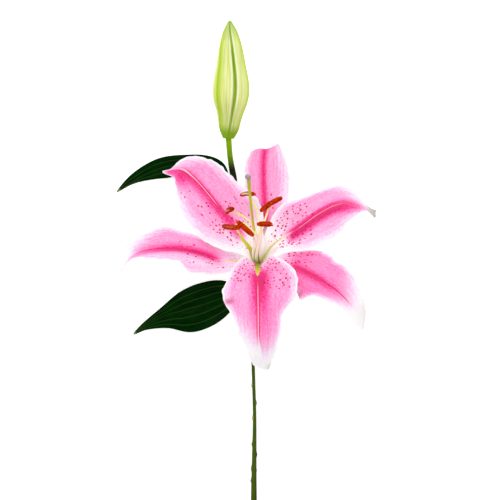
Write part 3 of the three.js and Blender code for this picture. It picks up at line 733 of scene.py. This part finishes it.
def window(start, full, fading, end, values):
    return smooth(start, full, values) * (1 - smooth(fading, end, values))


FAN_WIDTH = 24  # half-width over which the streaks are counted
LINE_WIDTH = 0.6  # half that of the crimson line
LINE_GAP = 0.9  # from the pale line to a crimson one on either side


def pinkness(tepal, s, q, offset):
    """Strength of the pink, from 0 for white to 1 for crimson."""
    halves = [np.where(q < 0, low, high) for low, high in zip(*tepal["pink"])]
    flesh, start, full, end, pale_from, band, band_place, band_width, band_end, tip_flush = halves
    reach = np.abs(q)
    ended = smooth(-0.14, 0.14, s + 0.1 * reach**2 - end)
    paled = 0.65 * smooth(pale_from, 1.02, reach) + 0.35 * smooth(0.93, 1, reach)
    blush = flesh * smooth(start, full, s) * (1 - paled)
    blush *= 1 - (0.9 + 0.1 * smooth(0.8, 0.95, s)) * ended
    beside = np.abs((offset - band_place) / band_width)
    crimson = band * window(0.2, 0.31, band_end - 0.45, band_end, s) * np.exp(-(beside**2.5))
    flush = tip_flush * window(0.66, 0.82, 0.95, 1, s) * (1 - reach**6)
    return 1 - (1 - blush) * (1 - crimson) * (1 - flush)


def line_along(offset, centre, half_width, s, start, end):
    """A thin line along the tepal, 1 in its middle."""
    beside = np.abs(offset - centre) / half_width
    return (1 - smooth(0.4, 1.3, beside)) * window(start, start + 0.06, end - 0.12, end, s)


# Tepal skin: pearly, with a painted glow in its throat, an emission that stands in for the light that
# comes through the tissue. Pigment lies in its cells in fine streaks that fan out from the midrib, so
# the pink ends in a feathered edge, and freckles the pale throat.
tepal_face, tree, shader = new_material("tepal_upper_skin")
blush = add_node(tree, "ShaderNodeAttribute", attribute_name="blush").outputs["Fac"]
vein_place = add_node(tree, "ShaderNodeCombineXYZ", {"X": "fan", "Y": "along"})
hairs = streaks(tree, vein_place, (1.5, 0.05, 1), 0.6)  # 0.7 mm apart and 20 mm long
brush = streaks(tree, vein_place, (0.55, 0.055, 1), 0.7)  # feathers of the pink's edge, 2 mm apart
sockets = {"Vector": vein_place, "Scale": 0.45, "Detail": 3, "Roughness": 0.6}
freckles = add_node(tree, "ShaderNodeTexNoise", sockets)
SHIFTS = [(hairs, 0.2, 0.05), (brush, 0.2, 0.12), (freckles, 0.15, 0.07)]
shifts = []  # of the pigment by each noise, which spreads so far from 0.5
for noise, spread, most in SHIFTS:
    sockets = {"Value": noise, "From Min": 0.5 - spread, "From Max": 0.5 + spread}
    sockets |= {"To Min": -most, "To Max": most}
    shifts.append(add_node(tree, "ShaderNodeMapRange", sockets))
FEATHERED = [(0, 0), (0.08, 0.5), (0.25, 1), (0.5, 0.6), (0.8, 0.3), (1, 0.15)]
edge_share = add_node(tree, "ShaderNodeValToRGB", {"Fac": blush}, stops=FEATHERED)
sockets = {0: shifts[1], 1: edge_share, 2: blush}
feathered = add_node(tree, "ShaderNodeMath", sockets, operation="MULTIPLY_ADD")
fine_shift = add_node(tree, "ShaderNodeMath", {0: shifts[0], 1: shifts[2]}, operation="ADD")
presence = add_node(tree, "ShaderNodeMapRange", {"Value": blush, "From Max": 0.3})
sockets = {0: fine_shift, 1: presence, 2: feathered}
pigment = add_node(tree, "ShaderNodeMath", sockets, operation="MULTIPLY_ADD")
TEPAL_PINKS = [
    (0, "#FFFDFE"), (0.12, "#FDEFF9"), (0.28, "#FBD3EE"), (0.48, "#FDA6D5"), (0.63, "#FC86C3"),
    (0.76, "#F960AA"), (0.87, "#F2318C"), (0.98, "#D80A6A"),
]
pinks = add_node(tree, "ShaderNodeValToRGB", {"Fac": pigment}, stops=TEPAL_PINKS)
# The nectar furrow: smooth wet tissue, olive at the foot and lime to pale yellow at its point.
NECTAR_LIMES = [(0, "#7A8200"), (0.45, "#90980A"), (0.65, "#B6C20C"), (0.88, "#DACE48"), (1, "#F2EBB4")]
limes = add_node(tree, "ShaderNodeValToRGB", {"Fac": "nectar_tone"}, stops=NECTAR_LIMES)
finished = pinks
# Over the pinks: the crimson line; the pale line, partly paler tissue and partly a painted highlight on the
# groove's lit wall; the nectar furrow; painted shade on folded corners; and the grey tip, partly dry and
# partly painted shade.
TEPAL_LAYERS = [
    ("crimson_line", "#E40C62"), ("pale_line", "#FFF4FB"), ("nectar", limes), ("creased", "#C04A86"),
    ("withered", "#C6C0BB"),
]
for mask, tone in TEPAL_LAYERS:
    sockets = {MASK: mask, UNDER: finished, OVER: tone}
    finished = add_node(tree, "ShaderNodeMix", sockets, data_type="RGBA")
bump = add_node(tree, "ShaderNodeBump", {"Height": hairs, "Strength": 0.35, "Distance": 0.0004})
feed(shader, {"Base Color": finished, "Normal": bump, "Roughness": 0.5, "IOR": 1.38})
# Painted glow: emission in the throat, in place of light coming through the tissue.
feed(shader, {"Emission Color": finished, "Emission Strength": "glow"})  # light that comes through
feed(shader, {"Sheen Weight": 0.15, "Sheen Roughness": 0.4})
TEPAL_RADIUS = (1, 0.5, 0.7)
feed(shader, {"Subsurface Weight": 0.3, "Subsurface Radius": TEPAL_RADIUS, "Subsurface Scale": 0.0008})
# The back of a tepal is paler and duller, with a raised, faintly green midrib.
tepal_back, tree, shader = new_material("tepal_under_skin")
BACK_PINKS = [(0, "#FBF3F6"), (1, "#EFA0C6")]
back_pinks = add_node(tree, "ShaderNodeValToRGB", {"Fac": "blush"}, stops=BACK_PINKS)
from_rib = add_node(tree, "ShaderNodeMath", {0: "across"}, operation="ABSOLUTE")
sockets = {"Value": from_rib, "From Min": 0.8, "From Max": 3, "To Min": 0.75, "To Max": 0}
rib = add_node(tree, "ShaderNodeMapRange", sockets, interpolation_type="SMOOTHSTEP")
sockets = {MASK: rib, UNDER: back_pinks, OVER: "#D9DDB4"}
finished = add_node(tree, "ShaderNodeMix", sockets, data_type="RGBA")
feed(shader, {"Base Color": finished, "Roughness": 0.6, "IOR": 1.38})
feed(shader, {"Subsurface Weight": 0.3, "Subsurface Radius": TEPAL_RADIUS, "Subsurface Scale": 0.0012})

RAGGED = 0.012  # of the half-width that the torn margins wander
FINE_RUFFLE, PLEAT_DEPTH = 0.35, 0.16
THROAT_GLOW = 0.13
FOLD_SHADE_STRENGTH = 0.85


def torn(s, q):
    """q with the margins of a tepal a little torn and uneven."""
    side = np.where(q < 0, 2.1, 0.4)
    wander = np.sin(61 * s + side) + 0.8 * np.sin(103 * s + 3 * side) + 0.6 * np.sin(171 * s + 5 * side)
    return q * (1 + RAGGED * q**8 * wander * window(0.25, 0.4, 0.9, 1, s))


def pleats(s, q, offset):
    """Shallow lengthwise pleats, and fine ruffles along the margins."""
    reach = np.abs(q)
    pleated = PLEAT_DEPTH * np.sin(2.1 * offset + 3 * s) * smooth(0.2, 0.5, reach)
    ruffled = FINE_RUFFLE * reach**7 * np.sin(83 * s + np.where(q < 0, 1.3, 4.1))
    return window(0.1, 0.4, 0.85, 1, s) * (pleated + ruffled)


tepal_surfaces = {}
for name, tepal in TEPALS.items():
    out = outward(tepal["azimuth"])
    sideways = np.cross(AXIS, out)
    midrib = RECEPTACLE + tepal["midrib"] @ np.array([out, AXIS, sideways])
    surface_at = lambda s, q, midrib=midrib, sideways=sideways, tepal=tepal: blade_surface(
        midrib, sideways, tepal, TEPAL_GROOVE, s, torn(s, q)
    )
    tepal_surfaces[name] = surface_at
    piece, s, q, offset = add_blade(
        name + "_blade", surface_at, pleats, TEPAL_THICKNESS, TEPAL_EDGE, 100, 170, crowding=1.35
    )
    (crimson, *crimson_ends), (pale, pale_foot, pale_tip, *pale_ends) = tepal["midrib_lines"]
    pale_centre = pale_foot + (pale_tip - pale_foot) * smooth(0.5, 1, s)
    pale_width = 0.3 + smooth(0.65, 1, s)
    crimson_place = np.abs(np.abs(offset - pale_centre) - LINE_GAP) if pale else np.abs(offset)
    nectary, nectar_width, nectar_centre, nectar_tone = tepal["nectary"]
    nectar_share = s * np.linalg.norm(np.diff(midrib, axis=0), axis=1).sum() / nectary
    nectar_edge = nectar_width * np.sqrt(np.maximum(0, 1 - nectar_share)) + 0.01
    nectar_place = np.abs(offset - nectar_centre * (1 - nectar_share**2)) / nectar_edge
    # The grey tip: partly the tip's own dry nub, partly painted shade on the side where it curls.
    tip_grey_from, tip_greyness, greyed_side = tepal["withered"]
    greyed_side_share = smooth(-0.3, 1, greyed_side * q) if greyed_side else 1
    # Painted shade on folded corners that turn away from the light.
    creased = np.zeros(len(s))
    for fold_q, fold_s, fold_width, fold_length in tepal.get("fold_shades", []):
        creased += FOLD_SHADE_STRENGTH * bell(s, fold_s, fold_length) * bell(q, fold_q, fold_width)
    store(
        piece,
        fan=q * FAN_WIDTH / (0.4 + 0.8 * s),
        blush=pinkness(tepal, s, q, offset),
        crimson_line=crimson * line_along(crimson_place, 0, LINE_WIDTH, s, *crimson_ends),
        pale_line=pale * line_along(offset, pale_centre, pale_width, s, *pale_ends),
        nectar=(1 - smooth(0.85, 1.15, nectar_place)) * (nectar_share < 1),
        nectar_tone=nectar_tone + (1 - nectar_tone) * nectar_share**1.8,
        withered=tip_greyness * greyed_side_share * smooth(tip_grey_from, tip_grey_from + 0.6 * (1 - tip_grey_from), s),
        glow=THROAT_GLOW * (1 - smooth(0.1, 0.36, s)),
        creased=creased,
    )
    finish_blade(piece, tepal_face, tepal_back)
    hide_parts(name)

# Papillae: fleshy crimson points, up to two millimetres across, that stand on the lower half of
# each tepal, and finer pale ones in its throat. They grow out of the tepal's skin. Each row of
# "papillae" is a side, where they start and end, how near the margin they come, and how many.
PAPILLA_SPACING = 2.5
THROAT = (0.1, 0.2, 0.6, 16)
BARE_MIDRIB = 1.6  # beside the midrib there are none
INNERMOST = 0.08  # share of the half-width, likewise
MOST_TRIES = 4000
RADII, FINE_RADII = (0.46, 0.36), (0.28, 0.14)  # the least, and how much they vary
DOME_LENGTH, DOME_HEIGHT = 1.3, 0.7  # of the radius
bpy.ops.object.select_all(action="DESELECT")
bpy.ops.mesh.primitive_uv_sphere_add(segments=8, ring_count=6)
pattern = bpy.context.object
dome = np.array([vertex.co for vertex in pattern.data.vertices])
dome_faces = [list(polygon.vertices) for polygon in pattern.data.polygons]
bpy.data.objects.remove(pattern)
# Papilla flesh: moist, dense with pigment, from mid pink to dark crimson from one to the next.
papilla_skin, tree, shader = new_material("moist_papilla_skin")
PAPILLA_CRIMSONS = [(0, "#F9AFD6"), (0.3, "#F45AA8"), (0.6, "#EA1C78"), (1, "#C4064C")]
crimsons = add_node(tree, "ShaderNodeValToRGB", {"Fac": "depth"}, stops=PAPILLA_CRIMSONS)
feed(shader, {"Base Color": crimsons, "Roughness": 0.5, "Specular IOR Level": 0.1})
draw = random.Random(7)
one_spot = lambda s, q: (np.array([s]), np.array([q]))
for name, tepal in TEPALS.items():
    surface_at = tepal_surfaces[name]
    chosen, centres = [], np.empty((0, 3))
    throat = [(side, *THROAT, True) for side in (-1, 1)]
    for side, start, end, widest, count, fine in [(*row, False) for row in tepal["papillae"]] + throat:
        wanted, tries = len(chosen) + count, 0
        while len(chosen) < wanted and tries < MOST_TRIES:
            tries += 1
            s = start + (end - start) * draw.random()
            q = side * (INNERMOST + (widest - INNERMOST) * draw.random())
            centre, offset = surface_at(*one_spot(s, q))
            spacing = PAPILLA_SPACING * (0.4 if fine else 0.6 + 0.7 * draw.random())
            if centres.size and np.linalg.norm(centres - centre, axis=1).min() < spacing:
                continue
            if abs(offset[0]) > BARE_MIDRIB:
                centres = np.vstack([centres, centre])
                chosen.append((s, q, draw.random(), fine))
    points, faces, depths = [], [], []
    for s, q, chance, fine in chosen:
        centre = surface_at(*one_spot(s, q))[0][0]
        normal = face_normal(surface_at, *one_spot(s, q))[0]
        ahead = surface_at(*one_spot(s + 0.005, q))[0][0] - centre
        ahead = unit(ahead - normal * (ahead @ normal))
        least, spread = FINE_RADII if fine else RADII
        half = thickness_at(s, q, TEPAL_THICKNESS, TEPAL_EDGE) / 2
        sides = np.array([ahead * DOME_LENGTH, np.cross(normal, ahead), normal * DOME_HEIGHT])
        faces += [[len(points) * len(dome) + v for v in face] for face in dome_faces]
        points.append(centre + normal * half + dome @ sides * (least + spread * chance))
        depths += [0.35 * chance if fine else 0.45 + 0.55 * draw.random()] * len(dome)
    mesh = bpy.data.meshes.new(name + "_papillae")
    placed = (np.concatenate(points) - FOOTPRINT_CENTRE) * MM
    mesh.from_pydata(placed.tolist(), [], faces)
    papillae = bpy.data.objects.new(mesh.name, mesh)
    scene.collection.objects.link(papillae)
    mesh.polygons.foreach_set("use_smooth", [True] * len(faces))
    store(papillae, depth=depths)
    mesh.materials.append(papilla_skin)
    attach(papillae, "root")

# The six stamens: a soft tapering filament from the receptacle, pale and green at its foot, and
# an anther hung by the middle of its back on the filament's tip. Each anther is two split
# pollen sacs side by side, coated with rust-coloured pollen.
CLEARANCE = 0.35
ANTHER_LENGTH, ANTHER_RADIUS, ANTHER_GROOVE = 20, 2.05, 0.22
ANTHER_TAPER = [0.6, 0.95, 1, 1, 1, 0.95, 0.6]
FILAMENT_RADIUS, FILAMENT_TIP_RADIUS = 0.9, 0.55
SWELLING = 0.26  # of a filament's lower third, as a share of its radius
FOOT_CIRCLE, COLUMN_CIRCLE, COLUMN_START = 2.5, 3.1, 17
FILAMENT_GLOW = 0.12
COLUMN_TOP = [-0.5, 25, 32]  # where the filaments are gathered beside the pistil
STAMENS = [
    (90, (0.2, 2.6), [-1.3, 42, 27.5], [-8.9, 56.2, 21], [0.52, 0, 0.85], 0.9),
    (30, (2.2, 1.4), [6.6, 42, 31.5], [8.7, 48.1, 36], [0.83, 0.51, 0.2], 0),
    (150, (-2.4, 3.6), [-11.6, 37.8, 35], [-23.2, 43.2, 36], [0.25, 0.1, 0.96], 0.4),
    (210, (-2.1, -3), [-12, 33.2, 41.5], [-22, 29.8, 49], [0.65, -0.06, 0.76], 0.12),
    (270, (0.2, -2.4), [-7, 26.9, 46], [-11, 29, 54], [0.59, -0.53, 0.61], 0),
    (330, (2.4, -1.1), [1.4, 30, 44], [5, 32.3, 52], [0.52, 0, -0.85], 0),
]  # azimuth, place in the column, bend above it, middle and direction of the anther, and how far
# its sacs show their pale inside


def tissue_skin(name, tones, cells_per_metre, glow, sockets):
    """The skin of a firm tissue with fine cells, whose tones run along the piece. A glow above 0 adds a
    painted glow of emission.
    """
    material, tree, shader = new_material(name)
    toned = add_node(tree, "ShaderNodeValToRGB", {"Fac": "length_share"}, stops=tones)
    texture_place = add_node(tree, "ShaderNodeTexCoord").outputs["Object"]
    cells = add_node(tree, "ShaderNodeTexNoise", {"Vector": texture_place, "Scale": cells_per_metre})
    bump = add_node(tree, "ShaderNodeBump", {"Height": cells, "Strength": 0.2, "Distance": 0.0002})
    feed(shader, {"Base Color": toned, "Normal": bump, "Subsurface Scale": 0.001, **sockets})
    if glow:
        feed(shader, {"Emission Color": toned, "Emission Strength": glow})
    return material


# Filament: firm, watery tissue with a little painted glow, an emission in place of light passing
# through it. Olive at the foot, ivory, then lime.
FILAMENT_TONES = [
    (0, "#747800"), (0.1, "#A2A430"), (0.18, "#DAD898"), (0.27, "#F6F0DC"), (0.48, "#FCF5E4"),
    (0.62, "#F4EEB4"), (0.8, "#E9E58C"), (1, "#DFE07C"),
]
filament_look = {"Roughness": 0.4, "Specular IOR Level": 0.2, "Subsurface Weight": 0.3}
filament_skin = tissue_skin("watery_filament_skin", FILAMENT_TONES, 900, FILAMENT_GLOW, filament_look)
# Pollen: dry, oily-looking grains of about 0.1 mm, drawn as clumps of 0.4 mm so that they show.
pollen, tree, shader = new_material("rust_pollen")
texture_place = add_node(tree, "ShaderNodeTexCoord").outputs["Object"]
clumps = add_node(tree, "ShaderNodeTexVoronoi", {"Vector": texture_place, "Scale": 2400})
patches = add_node(tree, "ShaderNodeTexNoise", {"Vector": texture_place, "Scale": 500, "Detail": 4})
POLLEN_RUSTS = [(0.3, "#7E1000"), (0.7, "#E04200")]
rusts = add_node(tree, "ShaderNodeValToRGB", {"Fac": patches}, stops=POLLEN_RUSTS)
sockets = {MASK: "inside", UNDER: rusts, OVER: "#EBD9B4"}
finished = add_node(tree, "ShaderNodeMix", sockets, data_type="RGBA")
bump = add_node(tree, "ShaderNodeBump", {"Height": clumps, "Strength": 0.7, "Distance": 0.0003})
feed(shader, {"Base Color": finished, "Normal": bump, "Roughness": 0.8, "Specular IOR Level": 0.03})

for number, (azimuth, gather, bend, offset, lie, openness) in enumerate(STAMENS, 1):
    out = outward(azimuth)
    base = RECEPTACLE + FOOT_CIRCLE * out + CLEARANCE * AXIS
    low = RECEPTACLE + COLUMN_CIRCLE * out + COLUMN_START * AXIS
    gathered = RECEPTACLE + COLUMN_TOP + gather[0] * RIGHT + gather[1] * UP
    fanned = RECEPTACLE + bend
    middle = RECEPTACLE + offset
    direction = unit(np.array(lie))
    approach = unit(middle - fanned)
    slant = math.acos(approach @ direction)
    back = ANTHER_RADIUS * (1 - ANTHER_GROOVE) + CLEARANCE
    stand_off = (back + FILAMENT_TIP_RADIUS * abs(math.cos(slant))) / math.sin(slant)
    filament = wrap(
        f"filament_{number}_tissue",
        [base, low, gathered, fanned, middle - stand_off * approach],
        lambda t, angle: spline([FILAMENT_RADIUS, FILAMENT_TIP_RADIUS], t)
        * (1 + 0.12 * np.cos(2 * angle) + SWELLING * window(0.05, 0.2, 0.4, 0.55, t)),
        sides=16,
        steps=60,
    )
    filament.data.materials.append(filament_skin)
    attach(filament, "root")
    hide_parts(f"filament_{number}")

    bow = unit(approach - direction * (approach @ direction))
    split = math.atan2(bow[2], np.cross(bow, direction)[2])  # the angle of the side that faces up
    half = direction * ANTHER_LENGTH / 2
    anther = wrap(
        f"anther_{number}_sacs",
        [middle - half - bow, middle, middle + half - bow],
        lambda t, angle: ANTHER_RADIUS
        * spline(ANTHER_TAPER, t)
        * (1 - 1.4 * ANTHER_GROOVE * np.abs(np.sin(angle)) ** 8 + 0.04 * np.sin(37 * t + 3 * angle)),
        sides=48,
        steps=60,
        upright=bow,
        inside=lambda t, angle: openness
        * smooth(0.9, 0.99, np.cos(angle - split))
        * window(0.1, 0.35, 0.65, 0.9, t),
    )
    anther.data.materials.append(pollen)
    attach(anther, "root")
    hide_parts(f"anther_{number}")

# The pistil: a six-ribbed ovary that narrows into a long, smooth style. The stigma on its end is
# a sticky knob of three lobes.
PISTIL = [
    [0, 0, 0], [-1.3, 8, 10.5], [-2.5, 16.5, 21], [-3.7, 25.5, 31.5], [-5, 36, 40],
    [-6.1, 46, 46], [-7.2, 56, 50], [-8, 66, 52.5],
]
PISTIL_RADIUS = [1.1, 1.45, 1.45, 1.15, 1, 1, 1.1, 1.5]
STIGMA_LENGTH = 3.4
STIGMA_RADIUS = [1.6, 2.4, 2.6, 2]
pistil_line = RECEPTACLE + CLEARANCE * AXIS + PISTIL
pistil = wrap(
    "pistil_tissue",
    pistil_line,
    lambda t, angle: spline(PISTIL_RADIUS, t) * (1 + 0.07 * np.cos(6 * angle) * (1 - smooth(0.25, 0.4, t))),
    sides=36,
    steps=90,
)
# Style: firm, glassy tissue. The ovary is olive to pale green and the style a clear lime.
STYLE_TONES = [
    (0, "#6E6E04"), (0.12, "#A9A440"), (0.3, "#E6DDB4"), (0.42, "#DDD060"), (0.6, "#CDC01C"),
    (0.8, "#BDBB0E"), (0.95, "#ABAF04"), (1, "#A3A648"),
]
style_look = {"Roughness": 0.35, "IOR": 1.42, "Subsurface Weight": 0.2}
style_skin = tissue_skin("glassy_style_skin", STYLE_TONES, 700, 0, style_look)
pistil.data.materials.append(style_skin)
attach(pistil, "root")
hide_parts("pistil")

style_end = pistil_line[-1]
style_heading = heading(pistil_line, np.ones(1))[0]
stigma = wrap(
    "stigma_lobes",
    [style_end + reach * style_heading for reach in (0, CLEARANCE + STIGMA_LENGTH)],
    lambda t, angle: spline(STIGMA_RADIUS, t)
    * (1 + 0.15 * np.cos(3 * angle))
    * np.sqrt(1 - 0.75 * smooth(0.8, 1, t)),
    sides=48,
    steps=20,
)
# Stigma: a greyish mauve pad, wet with clear fluid, so it is fairly glossy.
stigma_skin, tree, shader = new_material("sticky_stigma")
texture_place = add_node(tree, "ShaderNodeTexCoord").outputs["Object"]
grains = add_node(tree, "ShaderNodeTexNoise", {"Vector": texture_place, "Scale": 1500, "Detail": 3})
sockets = {MASK: grains, UNDER: "#7C6068", OVER: "#C4B8AE"}
mauves = add_node(tree, "ShaderNodeMix", sockets, data_type="RGBA")
bump = add_node(tree, "ShaderNodeBump", {"Height": grains, "Strength": 0.5, "Distance": 0.0002})
feed(shader, {"Base Color": mauves, "Normal": bump, "Roughness": 0.3, "IOR": 1.4})
feed(shader, {"Coat Weight": 0.4, "Coat Roughness": 0.15})
stigma.data.materials.append(stigma_skin)
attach(stigma, "root")
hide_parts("stigma")
